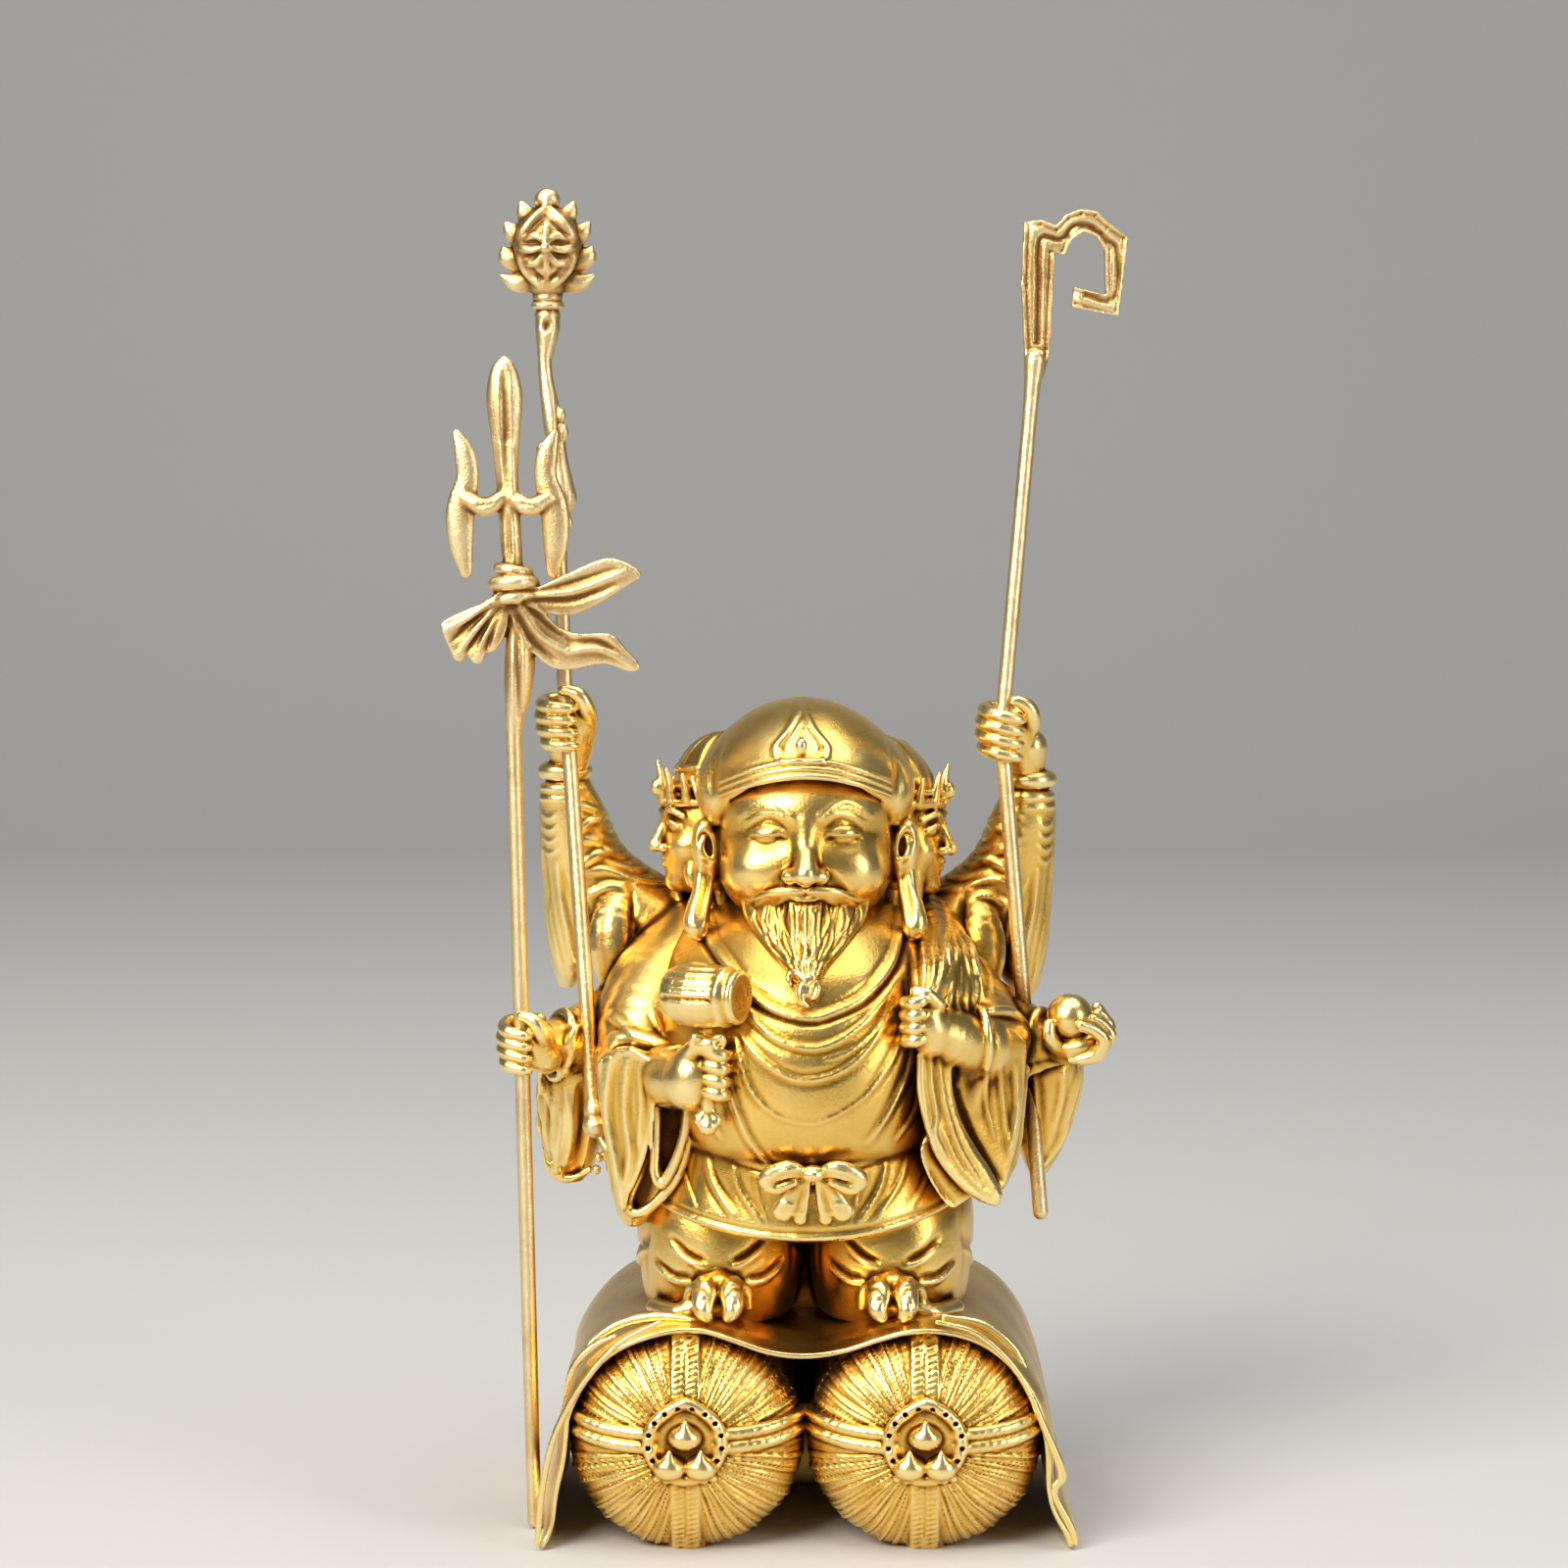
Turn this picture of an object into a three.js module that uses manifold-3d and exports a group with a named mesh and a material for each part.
// A cast brass statuette of a smiling god of wealth with three heads and six arms. He stands on two
// rice bales under a draped cloth, with a mallet, a jewel and the neck of a sack in his hands.
// Three loose staffs, a trident, a jewelled staff and a key, pass through his fists.
// Millimetres. +X is the viewer's right, -Y the front, +Z up. The origin is the middle of the underside.
import * as THREE from "three";
import { mergeVertices } from "three/addons/utils/BufferGeometryUtils.js";
import Module from "manifold-3d";

const wasm = await Module();
wasm.setup();

// Driving dimensions
const BASE_WIDTH = 65; // over the lower corners of the cloth
const BASE_DEPTH = 58; // over the jewels on the two ends of the bales
const HAT_TOP = 100; // height of the figure without the staffs

// The bales lie side by side, front to back
const BALE_WIDE = 14; // half the width of a bale
const BALE_HIGH = 13.3; // half its height before its underside is flattened
const BALE_X = 14.2;
const BALE_Z = 13;
const BALE_BARREL = 20; // where its barrel ends and the domed straw cap begins
const JEWELS = 1.9; // how far the jewels stand out from the cap
const BALE_DOME = BASE_DEPTH / 2 - JEWELS - BALE_BARREL; // how far the cap bulges
const STRAWS = 20; // straw ridges and the hollows between them, round a bale

// The cloth over the bales
const CLOTH = 1.3; // thickness
const CLOTH_FRONT = 24;
const CLOTH_SAG = 24.6; // height of its top between the bales

// Levels of the robe: height at the sides, half width, front, back, and how far the level droops in
// front. The drooping pairs are the folds across the chest, and the top pair is the collar.
const ROBE = [
  [37.4, 20.6, -22.2, 18.0, 0],
  [38.8, 21.0, -22.6, 18.2, 0],
  [44.6, 17.8, -22.0, 16.2, 0],
  [45.2, 18.6, -23.0, 17.0, 0],
  [47.1, 18.5, -23.0, 17.0, 0],
  [47.7, 17.6, -22.8, 16.0, 0],
  [55.5, 19.4, -24.2, 16.5, 3.5],
  [60.4, 19.8, -25.4, 16.4, 5.4],
  [62.0, 19.5, -23.4, 16.2, 5.4],
  [65.8, 18.9, -24.3, 15.6, 6.6],
  [67.4, 18.2, -22.0, 15.0, 6.8],
  [72.8, 14.6, -22.8, 12.6, 8.8],
  [73.8, 13.4, -19.2, 11.6, 8.4],
  [77.5, 7.6, -9.0, 8.4, 0],
];
const SASH_Z = 46.2;
const PLEATS = 10; // round the skirt under the sash

// The front head, with the face on plain thirds between chin and brow
const HEAD = [0, -6.5, 84];
const HEAD_SIZE = [10.8, 11.4, 11.2];
const JAW = [0, -9.0, 79.8];
const JAW_SIZE = [10.6, 9.2, 7.0];
const CHIN_Z = 73.8;
const EYE_Z = 85.2;
const NOSE_Z = (CHIN_Z + EYE_Z) / 2;
const MOUTH_Z = NOSE_Z - (NOSE_Z - CHIN_Z) / 3;
const EYE_X = 4.3;

// Staffs
const SHAFT = 0.95; // radius of every shaft
const PLAY = 0.3; // gap between a shaft and the hole through a fist
const TRIDENT_FOOT = [-32.8, -13.5, 0];
const TRIDENT_TOP = [-36.2, -6.5, 141.8];
const JEWEL_STAFF_FOOT = [-25.4, -10.2, 48.7];
const JEWEL_STAFF_FIST = [-29.0, -1.0, 96.7];
const KEY_FOOT = [28.8, -5.6, 36.6];
const KEY_FIST = [23.9, -1.0, 96.1];
const KEY_NECK = [27.9, 3.8, 141.0];

const WELD = 1e-3;
const SHORT_EDGE = 0.3; // shorter edges may go when solids are joined
const LEFT = -1; // the viewer's left
const RIGHT = 1;

const vector = (p) => new THREE.Vector3(p[0], p[1], p[2]);
const mix = (a, b, t) => a + (b - a) * t;
const smooth = (t) => t * t * (3 - 2 * t);
const along = (a, b, t) => [mix(a[0], b[0], t), mix(a[1], b[1], t), mix(a[2], b[2], t)];
const mirrored = (side, points) => points.map(([x, ...rest]) => [side * x, ...rest]);

// A closed geometry as a solid that can be joined and cut
function solid(geometry) {
  const bare = geometry.index ? geometry.toNonIndexed() : geometry.clone();
  bare.deleteAttribute("normal");
  bare.deleteAttribute("uv");
  const merged = mergeVertices(bare, WELD);
  return new wasm.Manifold(
    new wasm.Mesh({
      numProp: 3,
      tolerance: SHORT_EDGE,
      vertProperties: merged.attributes.position.array,
      triVerts: new Uint32Array(merged.index.array),
    }),
  );
}

const joined = (solids) => solids.reduce((all, next) => all.add(next));

// The outer shells of a joined body. The pockets that its overlapping lumps close off are left out,
// because the casting is solid there.
function outerShells(points, corners) {
  const parent = Array.from({ length: points.length / 3 }, (_, i) => i);
  const rootOf = (i) => {
    while (parent[i] !== i) {
      parent[i] = parent[parent[i]];
      i = parent[i];
    }
    return i;
  };
  for (let t = 0; t < corners.length; t += 3) {
    parent[rootOf(corners[t + 1])] = rootOf(corners[t]);
    parent[rootOf(corners[t + 2])] = rootOf(corners[t]);
  }
  const cornerAt = (i) => new THREE.Vector3().fromArray(points, 3 * i);
  const volumes = new Map();
  for (let t = 0; t < corners.length; t += 3) {
    const [a, b, c] = [corners[t], corners[t + 1], corners[t + 2]];
    const slice = cornerAt(a).dot(cornerAt(b).cross(cornerAt(c)));
    volumes.set(rootOf(a), (volumes.get(rootOf(a)) ?? 0) + slice);
  }
  const kept = [];
  for (let t = 0; t < corners.length; t += 3)
    if (volumes.get(rootOf(corners[t])) > 0) kept.push(corners[t], corners[t + 1], corners[t + 2]);
  return kept;
}

// A solid back as a geometry
function geometryOf(body) {
  const mesh = body.getMesh();
  const geometry = new THREE.BufferGeometry();
  geometry.setAttribute("position", new THREE.BufferAttribute(mesh.vertProperties, 3));
  geometry.setIndex(outerShells(mesh.vertProperties, mesh.triVerts));
  const flat = geometry.toNonIndexed();
  flat.computeVertexNormals();
  return flat;
}

// An ellipsoid, turned by degrees about X, Y and Z
function lump(centre, radii, turn = [0, 0, 0], across = 6, down = 3) {
  const geometry = new THREE.SphereGeometry(1, across, down);
  geometry.rotateX(Math.PI / 2);
  geometry.scale(...radii);
  geometry.rotateX(THREE.MathUtils.degToRad(turn[0]));
  geometry.rotateY(THREE.MathUtils.degToRad(turn[1]));
  geometry.rotateZ(THREE.MathUtils.degToRad(turn[2]));
  geometry.translate(...centre);
  return solid(geometry);
}

// A closed skin over rings of points that run anticlockwise seen from the last ring. Its two ends
// are pointed or flat: the tips are the points that close them.
function skin(rings, tips = []) {
  const sides = rings[0].length;
  const points = rings.flat();
  const faces = [];
  for (let r = 0; r + 1 < rings.length; r++)
    for (let i = 0; i < sides; i++) {
      const j = (i + 1) % sides;
      const [a, b] = [r * sides + i, r * sides + j];
      faces.push(a, b, b + sides, a, b + sides, a + sides);
    }
  [0, rings.length - 1].forEach((r, last) => {
    const centre = new THREE.Vector3();
    rings[r].forEach((p) => centre.addScaledVector(p, 1 / sides));
    points.push(tips[last] ?? centre);
    for (let i = 0; i < sides; i++) {
      const [a, b] = [r * sides + i, r * sides + ((i + 1) % sides)];
      faces.push(...(last ? [a, b, points.length - 1] : [b, a, points.length - 1]));
    }
  });
  const geometry = new THREE.BufferGeometry().setFromPoints(points);
  geometry.setIndex(faces);
  return solid(geometry);
}

// A limb through [x, y, z, radius] points, with pointed ends, pressed flat along an axis if asked
function limb(points, sides = 5, stepsEach = 1, press = [0, 0, 0]) {
  const curve = new THREE.CatmullRomCurve3(points.map(vector));
  const steps = (points.length - 1) * stepsEach;
  const radiusAt = (t) => {
    const place = Math.min(t * (points.length - 1), points.length - 1.001);
    const i = Math.floor(place);
    return mix(points[i][3], points[i + 1][3], smooth(place - i));
  };
  const pressed = vector(press);
  const squeeze = pressed.length();
  pressed.normalize();
  const start = curve.getTangent(0);
  const normal = Math.abs(start.z) < 0.8 ? new THREE.Vector3(0, 0, 1) : new THREE.Vector3(0, 1, 0);
  const rings = [];
  const tips = [];
  for (let i = 0; i <= steps; i++) {
    const tangent = curve.getTangent(i / steps);
    normal.addScaledVector(tangent, -normal.dot(tangent)).normalize();
    const other = new THREE.Vector3().crossVectors(tangent, normal);
    const centre = curve.getPoint(i / steps);
    const radius = radiusAt(i / steps);
    rings.push(
      Array.from({ length: sides }, (_, k) => {
        const angle = (2 * Math.PI * (k + 0.5)) / sides;
        const offset = normal.clone().multiplyScalar(Math.cos(angle) * radius);
        offset.addScaledVector(other, Math.sin(angle) * radius);
        offset.addScaledVector(pressed, -squeeze * offset.dot(pressed));
        return offset.add(centre);
      }),
    );
    if (i === 0) tips[0] = centre.clone().addScaledVector(tangent, -0.7 * radius);
    if (i === steps) tips[1] = centre.clone().addScaledVector(tangent, 0.7 * radius);
  }
  return skin(rings, tips);
}

// A hanging bag of cloth through [x, y, z, halfWidth, halfDepth] levels, from the bottom up. Its
// sides are drawn in between the folds, two sides to a fold.
function bag(levels, sides = 10, folds = 0.12) {
  return skin(
    levels.map(([x, y, z, wide, deep]) =>
      Array.from({ length: sides }, (_, k) => {
        const angle = (2 * Math.PI * k) / sides;
        const size = k % 2 ? 1 - folds : 1;
        return new THREE.Vector3(x + wide * size * Math.cos(angle), y + deep * size * Math.sin(angle), z);
      }),
    ),
  );
}

// A solid of revolution about Z from [radius, z] points, placed with its axis along a direction
function turned(profile, place, direction = [0, 0, 1], sides = 8, squash = [1, 1]) {
  const geometry = new THREE.LatheGeometry(
    profile.map(([r, z]) => new THREE.Vector2(r, z)),
    sides,
  );
  geometry.rotateX(Math.PI / 2);
  geometry.scale(squash[0], squash[1], 1);
  const aim = new THREE.Quaternion().setFromUnitVectors(
    new THREE.Vector3(0, 0, 1),
    vector(direction).normalize(),
  );
  geometry.applyQuaternion(aim);
  geometry.translate(...place);
  return solid(geometry);
}

// A flat outline in the XZ plane, given depth along Y from y to y + depth
function plate(outline, y, depth) {
  const shape = new THREE.Shape(outline.map(([x, z]) => new THREE.Vector2(x, z)));
  const geometry = new THREE.ExtrudeGeometry(shape, { depth, bevelEnabled: false });
  geometry.rotateX(Math.PI / 2);
  geometry.translate(0, y + depth, 0);
  return solid(geometry);
}

// Rice bales

function baleRing(side, y, share, straw) {
  return Array.from({ length: STRAWS }, (_, k) => {
    const angle = (-2 * Math.PI * k) / STRAWS;
    const size = share * (1 + (k % 2 ? straw : -straw));
    return new THREE.Vector3(
      side * BALE_X + BALE_WIDE * size * Math.cos(angle),
      y,
      BALE_Z + BALE_HIGH * size * Math.sin(angle),
    );
  });
}

// How far forward the straw cap stands at a share of the bale's radius
const capY = (share) => -BALE_BARREL - BALE_DOME * Math.sqrt(Math.max(0, 1 - share ** 2.4));

function bale(side) {
  const front = [0.3, 0.62, 0.86, 1].map((s) => baleRing(side, capY(s), s, s < 1 ? 0.03 : 0.012));
  const back = [0.55, 1].map((s) => baleRing(side, -capY(s), s, 0.012)).reverse();
  return skin([...front, ...back]);
}

// The rope cross on one end of a bale
function baleRope(side, end) {
  const onCap = (dx, dz) => {
    const share = Math.hypot(dx / BALE_WIDE, dz / BALE_HIGH);
    return [side * BALE_X + dx, end * capY(share), BALE_Z + dz];
  };
  return joined(
    [-1, 1].flatMap((way) => [
      limb([4, 8.6, 13.1].map((d) => [...onCap(way * d, 1), 1.75]), 4),
      limb([4, 8.4, 12.2].map((d) => [...onCap(0, way * d), 1.85]), 4),
    ]),
  );
}

// The boss with three jewels where the ropes cross in front
function baleJewels(side) {
  const front = capY(0);
  const boss = [[0, -2.4], [5.0, -2.4], [4.7, 0.9], [0, 0.5]];
  const [x, z] = [side * BALE_X, BALE_Z + 0.6];
  return joined([
    turned(boss, [x, front, z], [0, -1, 0], 8),
    ...[[0, 2.0], [-2.1, -1.7], [2.1, -1.7]].map(([dx, dz]) =>
      lump([x + dx, front - JEWELS + 1.5, z + dz], [2.0, 1.5, 2.1]),
    ),
  ]);
}

// The plain knot where the ropes cross behind
const baleKnot = (side) => lump([side * BALE_X, -capY(0), BALE_Z + 0.6], [4.2, JEWELS, 4.2], [0, 0, 0], 8, 4);

// The cloth hugs both bales, sags between them and flares to its lower corners. It is a row of
// sections from the lower left corner to the lower right, each with a rolled front edge. Over a
// bale its inner side is sunk into the straw.
function cloth() {
  const sunk = -2.6;
  const right = [[0, CLOTH_SAG - CLOTH, 0, 1, 0], [4.2, CLOTH_SAG - CLOTH + 0.7, -0.2, 1, 0]];
  for (let step = 0; step <= 6; step++) {
    const angle = THREE.MathUtils.degToRad(mix(-24, 94, step / 6));
    const [outX, outZ] = [Math.sin(angle), Math.cos(angle)];
    right.push([BALE_X + BALE_WIDE * outX, BALE_Z + BALE_HIGH * outZ, outX, outZ, sunk]);
  }
  right.push([BALE_X + BALE_WIDE + 0.6, 6.4, 1, 0.1, 0]);
  right.push([BASE_WIDTH / 2 - CLOTH - 0.4, -1, 0.9, 0.4, 0]);
  const left = right.slice(1).map(([x, z, outX, outZ, inner]) => [-x, z, -outX, outZ, inner]).reverse();
  const section = (inner) => [
    [CLOTH_FRONT - 1.5, inner],
    [CLOTH_FRONT - 1.5, CLOTH],
    [-CLOTH_FRONT + 2, CLOTH],
    [-CLOTH_FRONT + 0.9, CLOTH + 0.8],
    [-CLOTH_FRONT, CLOTH],
    [-CLOTH_FRONT, inner],
  ];
  return skin(
    [...left, ...right].map(([x, z, outX, outZ, inner]) =>
      section(inner).map(([y, lift]) => new THREE.Vector3(x + outX * lift, y, z + outZ * lift)),
    ),
  );
}

// The casting is closed between the bales and the cloth, behind their front ends
function core() {
  return solid(new THREE.BoxGeometry(14, 35, 22).translate(0, 0.5, 11));
}

function base() {
  const body = joined([
    bale(LEFT),
    bale(RIGHT),
    baleRope(LEFT, RIGHT),
    baleRope(RIGHT, RIGHT),
    baleJewels(LEFT),
    baleJewels(RIGHT),
    baleKnot(LEFT),
    baleKnot(RIGHT),
    cloth(),
    core(),
  ]);
  const under = solid(new THREE.BoxGeometry(120, 120, 20).translate(0, 0, -10));
  return body.subtract(under);
}

// Trousers and boots

function leg(side) {
  const x = side * 10.5;
  const toe = (dx) => limb([[x + dx, -14, 30.6, 2.6], [x + dx, -22, 29.2, 2.0]]);
  return joined([
    bag([[x, -3.0, 25.6, 8.8, 13.8], [x, -3.4, 29.2, 9.9, 15.4], [x * 0.98, -3.6, 34, 10.2, 15.8],
      [x * 0.96, -3.2, 38.4, 9.8, 15]], 12, 0.04),
    toe(-1.6),
    toe(1.6),
    limb([[x - side * 6.2, -17.2, 35.6, 0.8], [x, -19.8, 32.2, 1.2], [x + side * 6.2, -17.2, 35.6, 0.8]], 4),
  ]);
}

// Robe

// A level of the robe as a ring, squarer than an ellipse and pleated below the sash
function robeRing([z, wide, front, back, droop]) {
  const skirt = Math.max(0, (SASH_Z - 1 - z) / (SASH_Z - ROBE[0][0]));
  return Array.from({ length: 2 * PLEATS }, (_, k) => {
    const angle = (Math.PI * (k + 0.5)) / PLEATS;
    const [c, s] = [Math.cos(angle), Math.sin(angle)];
    const square = 0.9;
    const reach = s < 0 ? -front : back;
    const pleat = 1 + 0.03 * skirt * (k % 2 ? 1 : -1);
    return new THREE.Vector3(
      wide * Math.sign(c) * Math.abs(c) ** square * pleat,
      reach * Math.sign(s) * Math.abs(s) ** square * pleat,
      z - droop * Math.max(0, -s) ** 2,
    );
  });
}

function robe() {
  return joined([skin(ROBE.map((level) => robeRing(level))), bow()]);
}

function bow() {
  const [x, y, z] = [0.8, -23.0, 45.4];
  const loop = (way) => lump([x + way * 3.3, y, z - 0.2], [3.1, 1.7, 1.7], [0, way * 12, 0]);
  const tail = (way) => limb([[x + way * 0.6, y, z - 0.4, 1.0], [x + way * 3.0, y + 0.4, z - 4.8, 1.9]], 4);
  return joined([loop(LEFT), loop(RIGHT), tail(LEFT), tail(RIGHT), lump([x, y - 0.5, z], [1.3, 1.5, 1.4])]);
}

// Heads

function ear(side) {
  return joined([
    limb(mirrored(side, [[10.6, -8.2, 83, 1.2], [12.2, -7.4, 87, 1.1], [11.8, -4.4, 86, 1.2], [11.4, -5.6, 80.6, 1.9],
      [11.9, -7.4, 77.2, 1.6], [12.2, -8.2, 74.8, 1.3]])),
  ]);
}

// Where the front of the face lies at a place on it
function faceFront(x, z) {
  const front = (centre, size) => {
    const rest = 1 - (x / size[0]) ** 2 - ((z - centre[2]) / size[2]) ** 2;
    return centre[1] - size[1] * Math.sqrt(Math.max(0, rest));
  };
  return Math.min(front(HEAD, HEAD_SIZE), front(JAW, JAW_SIZE));
}

// A raised line on the face through [x, z, radius] points, standing out by a lift
function faceLine(points, lift = 0) {
  return limb(points.map(([x, z, radius]) => [x, faceFront(x, z) - lift, z, radius]));
}

function face() {
  const eye = (side) =>
    joined([
      lump([side * EYE_X, faceFront(EYE_X, EYE_Z) + 0.2, EYE_Z], [2.5, 1.5, 1.1]),
      faceLine(mirrored(side, [[1.9, EYE_Z + 2.6, 0.8], [4.6, EYE_Z + 3.3, 0.9], [7.4, EYE_Z + 1.9, 0.7]])),
    ]);
  const moustache = (side) =>
    faceLine(mirrored(side, [[0.3, NOSE_Z - 1, 0.8], [3.2, MOUTH_Z + 0.5, 0.9], [6, MOUTH_Z - 2, 0.6]]), 0.3);
  const beard = [[0, 1.4, CHIN_Z + 1.6, 3.8], [0, -0.4, CHIN_Z - 2.4, 2.6], [0.3, -2.2, 67, 0.6]];
  return joined([
    lump(HEAD, HEAD_SIZE, [0, 0, 0], 12, 7),
    lump(JAW, JAW_SIZE, [0, 0, 0], 10, 5),
    faceLine([[0, EYE_Z + 1.6, 0.9], [0, NOSE_Z + 2.4, 1.3], [0, NOSE_Z + 0.6, 1.8]], 0.5),
    lump([0, faceFront(0, NOSE_Z) - 0.4, NOSE_Z + 0.4], [2.5, 1.4, 0.9]),
    lump([0, faceFront(0, MOUTH_Z) + 0.2, MOUTH_Z - 0.6], [2.7, 1.1, 0.9]),
    eye(LEFT),
    eye(RIGHT),
    moustache(LEFT),
    moustache(RIGHT),
    limb(beard.map(([x, lift, z, r]) => [x, -17.6 + lift, z, r]), 6),
  ]);
}

// The soft cap: a band over the brow, a crown that bulges over the ears, and a small crest
function hat() {
  const crown = [
    [89.4, 12.9, -18.2, 8.4],
    [91.9, 13.3, -18.6, 8.8],
    [92.4, 12.2, -17.0, 8.2],
    [95.6, 9.6, -14.6, 6.4],
    [98.6, 5.2, -11.2, 3.2],
  ];
  const rings = crown.map(([z, wide, front, back], level) => {
    const middle = (front + back) / 2;
    return Array.from({ length: 12 }, (_, k) => {
      const angle = (2 * Math.PI * (k + 0.5)) / 12;
      const dip = level < 3 ? 1.5 * Math.cos(2 * angle) : 0;
      return new THREE.Vector3(
        wide * Math.cos(angle),
        middle + ((back - front) / 2) * Math.sin(angle),
        z - dip,
      );
    });
  });
  return joined([
    skin(rings, [undefined, new THREE.Vector3(-0.6, -4.5, HAT_TOP)]),
    limb([[-3.0, -17.2, 93.6, 0.7], [-0.4, -15.2, 98.4, 0.8], [2.2, -17.2, 93.6, 0.7]]),
    lump([-0.4, -16.6, 94.8], [1.8, 1.2, 1.6]),
  ]);
}

// A head that looks out sideways, with a tall crown and hair behind it
function sideHead(side) {
  const at = (points) => mirrored(side, points);
  const peak = (y) => limb(at([[14.6, y, 88.0, 1.1], [16.6, y * 1.1, 91.9, 0.35]]), 4);
  return joined([
    lump([side * 10.6, 1.4, 83.2], [7.4, 6.4, 9.0], [0, 0, 0], 8, 5),
    limb(at([[16.9, 1.2, 85.4, 0.8], [18.0, 1.1, 82.3, 1.0]]), 5),
    lump([side * 10.0, 2.6, 90.6], [6.0, 6.0, 5.6], [0, side * 12, 0], 7, 4),
    limb(at([[14.2, -4.8, 86.4, 1.0], [16.6, 1.2, 88.2, 1.2], [14.2, 7.2, 86.4, 1.0]]), 4),
    peak(-1.6),
    peak(4.0),
    limb(at([[8.4, 6.4, 85, 3.4], [11.2, 6.4, 74, 3.0]]), 4),
  ]);
}

// Hands

// Four stacked fingers, as a column with a swell at each
function knuckles([x, y, z], [wide, deep], step) {
  const levels = [];
  for (let i = -3; i <= 3; i++) {
    const pinch = i % 2 ? 1 : 0.82;
    levels.push([x, y, z + i * step, wide * pinch, deep * pinch]);
  }
  return bag(levels, 6, 0);
}

// A fist round a shaft that stands along Z, with the thumb over the fingers
function fist([x, y, z], size = 1) {
  const thumb = [[2.0, -1.4, 2.0, 1.0], [0.6, -1.8, 3.9, 1.1], [-1.8, -1.2, 4.0, 0.9]];
  return joined([
    knuckles([x, y, z], [3.5 * size, 3.2 * size], 1.2 * size),
    limb(thumb.map(([dx, dy, dz, r]) => [x + dx * size, y + dy * size, z + dz * size, r * size])),
  ]);
}

// Arms

// The raised arms behind the heads, each with a creased sleeve, a bracelet and a hanging drape
function raisedArm(side, shift) {
  const at = (points) => mirrored(side, points).map(([x, ...rest]) => [x + shift, ...rest]);
  return joined([
    limb(at([[14, 6, 69, 7.6], [21, 7, 70, 6.6], [27.0, 6.2, 74.8, 4.7], [28.1, 5.4, 78.0, 3.8],
      [28.8, 4.6, 81.4, 4.1], [29.2, 4.0, 84.0, 3.2], [29.4, 3.6, 87.4, 3.3], [29.6, 3.1, 89.2, 3.6],
      [29.6, 2.8, 91.4, 3.4], [29.4, 1.6, 94.6, 2.2]]), 7),
    bag(at([[29.8, 7.4, 63.8, 1.4, 2.2], [28.4, 7.2, 70, 4.0, 5.4], [29.2, 6.2, 85, 3.3, 4.2]]), 8),
  ]);
}

// The front arm that lifts the mallet, with its wide sleeve open at the front
function malletArm() {
  return joined([
    limb([[-13, 0, 67, 8.6], [-17.6, -4.6, 62.4, 7.8], [-18.8, -11, 58, 5.8], [-17.0, -16.4, 57.4, 4.7]], 8),
    limb([[-17.4, -16, 57.6, 3.8], [-12.6, -21.0, 58, 3.0]], 6),
    bag([[-20.3, -9.6, 37.8, 1.2, 3.0], [-20.0, -9.6, 41, 3.6, 6.2], [-19.4, -9.4, 47.4, 5.5, 8.1],
      [-19.4, -9, 57, 5.4, 7.6]], 8),
    limb([[-20.6, -16.4, 57, 1.0], [-20.4, -15.6, 46, 1.4], [-17.6, -16.6, 43, 1.3], [-15.2, -17.2, 52, 0.9]]),
    knuckles([-11.8, -22.4, 57.8], [3.4, 3.0], 1.1),
    mallet(),
  ]);
}

function mallet() {
  const barrel = [[0, -4.7], [3.1, -4.6], [4.0, 0], [3.1, 4.6], [0, 4.7]];
  const handle = [[0, 0], [2.1, 0.6], [1.1, 3], [1.3, 12.6], [1.8, 14], [0, 15.2]];
  return joined([
    turned(barrel, [-11.7, -23.6, 67.6], [0.94, -0.34, 0], 10),
    turned(handle, [-11.5, -23.2, 65.4], [0.01, 0.02, -1], 5),
  ]);
}

// The front arm that grips the neck of the sack
function sackArm() {
  return joined([
    limb([[13, 0, 67, 8.4], [17.6, -5, 61.6, 7.2], [20.6, -11.5, 58.6, 5.4], [19.6, -16.6, 59.4, 4.6]], 8),
    limb([[20, -16.4, 59.4, 3.8], [15.4, -20.6, 62.4, 3.1]], 6),
    bag([[21.2, -9.6, 39.8, 1.0, 2.6], [20.7, -9.4, 43.4, 3.6, 6.0], [20.5, -9.0, 50, 5.5, 8.0],
      [20.6, -8.4, 57.4, 5.4, 7.4]], 8),
    knuckles([13.4, -22.0, 63.5], [3.2, 3.0], 1.05),
    limb([[13.6, -20.4, 60.4, 1.2], [15.0, -19.8, 51, 1.5], [19.8, -14.6, 41.8, 1.1]]),
    limb([[17.2, -18.2, 62.2, 1.0], [21.4, -14.6, 61.4, 1.0], [25.0, -9, 57.6, 0.9]]),
  ]);
}

// The sack: its neck rises from the fist, spreads over the shoulder and hangs down the back
function sack() {
  const neckFold = (dx, lean) =>
    limb([[13 + dx * 0.3, -20.6, 66, 0.9], [14.2 + dx, -16.6 + lean, 70.4, 1.1], [15.4 + dx * 1.4, -9 + lean, 74, 0.9]]);
  return joined([
    limb([[13.8, -19.4, 65.6, 2.6], [15.6, -13, 69.4, 5.0], [16.6, -3, 70, 7.0], [12, 8, 68, 8.6]], 8),
    neckFold(-1.6, -0.2),
    neckFold(2.6, 0.6),
    lump([5, 14.4, 58], [15.8, 11.8, 17.4], [0, -12, 0], 10, 5),
  ]);
}

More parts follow.
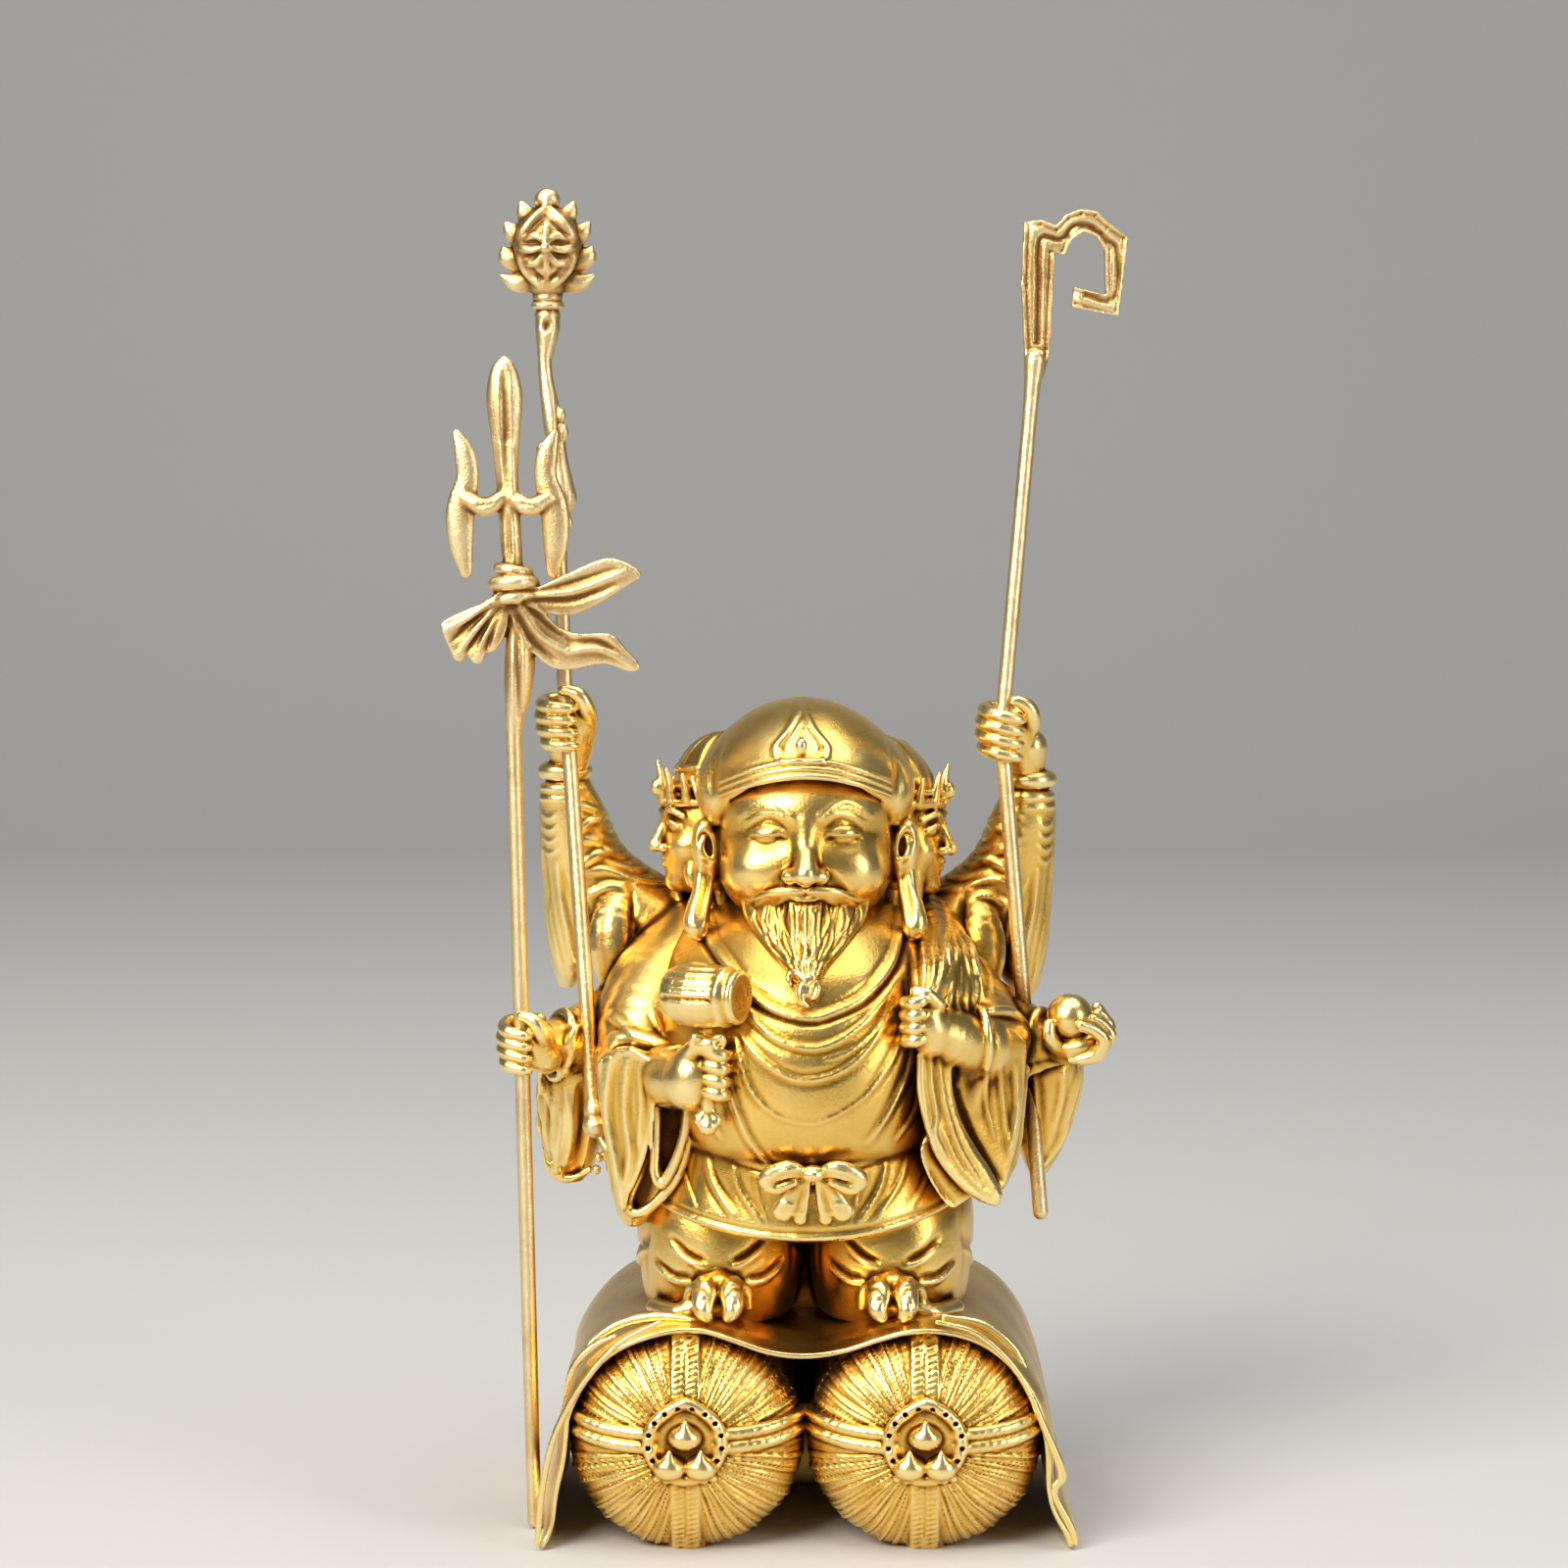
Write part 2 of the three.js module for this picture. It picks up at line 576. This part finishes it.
// The lower arms behind: one fist holds the trident, the other hand offers a jewel
function tridentArm() {
  return joined([
    limb([[-16, 3, 62, 7.4], [-23, -0.6, 59.6, 5.6], [-28.0, -5.0, 58.8, 4.2], [-29.4, -6.4, 58.9, 3.8]], 8),
    limb([[-28.4, -5.6, 59, 2.8], [-33, -9.6, 59.4, 2.3]], 6),
    bag([[-27.6, 0.4, 41.0, 1.2, 2.2], [-28.0, 0.2, 44, 3.4, 5.0], [-28.4, -0.2, 50.6, 4.7, 6.7],
      [-27.0, -1.2, 58, 4.6, 6.4]], 8),
  ]);
}

function jewelArm() {
  const finger = (dy) => limb([[34.4, -8 + dy, 58.4, 0.9], [36.3, -8 + dy * 1.2, 60.6, 0.8]], 4);
  return joined([
    limb([[16, 3, 62, 7.4], [22, -0.4, 59.6, 5.6], [26.6, -4.4, 58.6, 4.2], [28.0, -5.8, 58.6, 3.7]], 8),
    limb([[27, -5.2, 58.6, 2.7], [32.6, -8, 58.6, 2.2]], 6),
    bag([[28.4, 0.4, 41.8, 1.0, 2.0], [28.7, 0.2, 45, 2.9, 4.8], [29.3, -0.3, 52, 4.4, 6.2],
      [27.8, -1.2, 58, 4.8, 6.2]], 8),
    lump([33.2, -8, 58.7], [3.6, 3.2, 1.8]),
    finger(-1.4),
    finger(1.4),
    lump([32.4, -8, 62.0], [3.0, 3.0, 3.0], [0, 0, 0], 7, 5),
  ]);
}

// Staffs

const straight = (foot, top, radius, sides = 8) => {
  const curve = new THREE.LineCurve3(vector(foot), vector(top));
  const section = new THREE.Shape().absarc(0, 0, radius, 0, 2 * Math.PI);
  return solid(
    new THREE.ExtrudeGeometry(section, { extrudePath: curve, steps: 1, curveSegments: sides / 2, bevelEnabled: false }),
  );
};

const onTrident = (z) => along(TRIDENT_FOOT, TRIDENT_TOP, z / TRIDENT_TOP[2]);

// A loose trident: a leaf blade between two hooked side blades on a bar, over a knotted ribbon
function trident() {
  const at = ([dx, dy, z, r]) => {
    const [x, y] = onTrident(z);
    return [x + dx, y + dy, z, r];
  };
  const pole = [[0.7, SHAFT], [96, SHAFT], [102, 1.4], [112, 1.2], [117, 0.9]];
  const blade = (points) => limb(points.map(at), 6, 1, [0, 0.5, 0]);
  const hook = (side) =>
    blade([[side * 5.0, 0, 116.2, 0.6], [side * 5.4, 0, 121.6, 1.7], [side * 4.9, 0, 127.6, 1.35],
      [side * 5.6, 0, 132.2, 0.5]]);
  const bar = [[-5.0, 0, 124.6, 0.9], [-2.6, -0.2, 123.8, 1.1], [0, 0, 124.6, 1.3], [2.6, -0.2, 123.8, 1.1], [5.0, 0, 124.6, 0.9]];
  const ribbon = (points) => limb(points.map(at), 6, 1, [0, 0.35, 0]);
  return joined([
    limb(pole.map(([z, r]) => [...onTrident(z), r]), 8),
    blade([[0, 0, 116, 0.8], [0, 0, 127, 1.2], [0, 0, 133, 1.7], [0, 0, 137, 2.2], [0, 0, 140.6, 1.0]]),
    hook(LEFT),
    hook(RIGHT),
    limb(bar.map(at)),
    turned([[0, -2.4], [2.3, -1.6], [1.9, 0], [2.3, 1.0], [0, 2.4]], onTrident(114.4), [0, 0, 1], 8),
    ribbon([[-0.8, -0.6, 113, 1.2], [-3.4, -0.8, 110.2, 2.6], [-5.6, -0.6, 108.0, 3.2]]),
    ribbon([[0.6, -0.8, 113, 0.9], [4.4, -1.0, 107.4, 1.6], [9.6, -1, 106.8, 1.5], [14.5, -0.6, 104.6, 0.6]]),
    ribbon([[0.8, -0.4, 113.2, 0.9], [4.2, -1.0, 112.6, 1.7], [9.4, -1.4, 114.2, 2.2], [15.2, -1, 115.6, 0.6]]),
  ]);
}

const onJewelStaff = (z) =>
  along(JEWEL_STAFF_FOOT, JEWEL_STAFF_FIST, (z - JEWEL_STAFF_FOOT[2]) / (JEWEL_STAFF_FIST[2] - JEWEL_STAFF_FOOT[2]));

// A loose staff with a ball foot, a knotty stem and a bud ringed with curled petals
function jewelStaff() {
  const stem = [
    [...onJewelStaff(47.9), 0.8],
    [...onJewelStaff(48.9), 1.6],
    [...onJewelStaff(50.4), SHAFT],
    [...onJewelStaff(101), SHAFT],
    [-29.6, 1.6, 111, 0.85],
    [-29.5, 2.2, 117, 0.95],
    [-28.9, 3, 124.4, 1.8],
    [-30.4, 4.2, 129, 1.35],
    [-31.2, 5, 133.4, 1.5],
    [-31.8, 6, 141, 0.95],
    [-31.5, 6.8, 146.6, 1.1],
  ];
  const [x, y, z] = [-31.6, 7.3, 155.2];
  const bud = [[0, -9.4], [1.9, -8.6], [1.5, -7.2], [3.4, -4], [4.4, -0.4], [3.6, 3], [0, 6.2]];
  const petals = Array.from({ length: 9 }, (_, k) => {
    const angle = THREE.MathUtils.degToRad(-40 + (260 * k) / 8);
    return lump([x + 4.7 * Math.cos(angle), y, z + 5.2 * Math.sin(angle)], [1.4, 1.6, 1.4]);
  });
  return joined([limb(stem, 7), turned(bud, [x, y, z], [0, 0, 1], 8, [1, 0.8]), ...petals]);
}

// A loose key staff, bent at the fist, whose flat head turns over into a square hook
function keyStaff() {
  const head = [
    [26.9, 141.6], [29.5, 141.6], [30.2, 154.2], [31.6, 153.8], [32.4, 155.6], [33.8, 156.6], [35.4, 156.0],
    [36.3, 154.4], [36.6, 148.6], [32.6, 149.6], [32.4, 147.4], [38.2, 146.2], [39.3, 155.8], [37.0, 157.4],
    [35.4, 159.0], [33.4, 159.3], [31.6, 158.6], [30.4, 157.2], [28.6, 158.0], [26.3, 157.8], [26.3, 150],
  ];
  const flatHead = plate(head, 3.4, 2.6);
  const shaft = [
    [...along(KEY_FOOT, KEY_FIST, 0.01), SHAFT],
    [...KEY_FIST, SHAFT],
    [...along(KEY_FIST, KEY_NECK, 0.88), SHAFT],
    [...KEY_NECK, 1.3],
    [28.2, 4.7, 143, 1.2],
  ];
  return joined([limb(shaft, 8), flatHead]);
}

// The holes through the fists, and the room that the staffs need beside the sleeves
function staffRoom() {
  const radius = (SHAFT + PLAY) / Math.cos(Math.PI / 6);
  return joined([
    straight([TRIDENT_FOOT[0], TRIDENT_FOOT[1], -1], onTrident(112), radius, 6),
    straight(JEWEL_STAFF_FOOT, onJewelStaff(103), radius, 6),
    lump(JEWEL_STAFF_FOOT, [2.2, 2.2, 2.3], [0, 0, 0], 6, 4),
    straight(KEY_FOOT, KEY_FIST, radius, 6),
    lump(KEY_FIST, [1.8, 1.8, 1.8], [0, 0, 0], 6, 4),
    straight(KEY_FIST, KEY_NECK, radius, 6),
  ]);
}

function statue() {
  const body = joined([
    base(),
    leg(LEFT),
    leg(RIGHT),
    robe(),
    face(),
    ear(LEFT),
    ear(RIGHT),
    hat(),
    sideHead(LEFT),
    sideHead(RIGHT),
    malletArm(),
    sackArm(),
    sack(),
    raisedArm(LEFT, 0),
    raisedArm(RIGHT, -2),
    fist([-29.2, -0.6, 96.9]),
    fist([24.4, -0.6, 95.8]),
    tridentArm(),
    jewelArm(),
    fist([-33.9, -10.2, 59.2], 0.82),
  ]);
  return body.subtract(staffRoom());
}

const brass = (hex, roughness) => new THREE.MeshStandardMaterial({ color: hex, roughness, metalness: 1 });
const object = new THREE.Group();

function place(name, body, material) {
  const mesh = new THREE.Mesh(geometryOf(body), material);
  mesh.name = name;
  object.add(mesh);
}

place("statue", statue(), brass(0xd4a13c, 0.32));
place("trident", trident(), brass(0xbd9a62, 0.42));
place("jewel_staff", jewelStaff(), brass(0xbd9a62, 0.42));
place("key_staff", keyStaff(), brass(0xbd9a62, 0.42));

export default object;
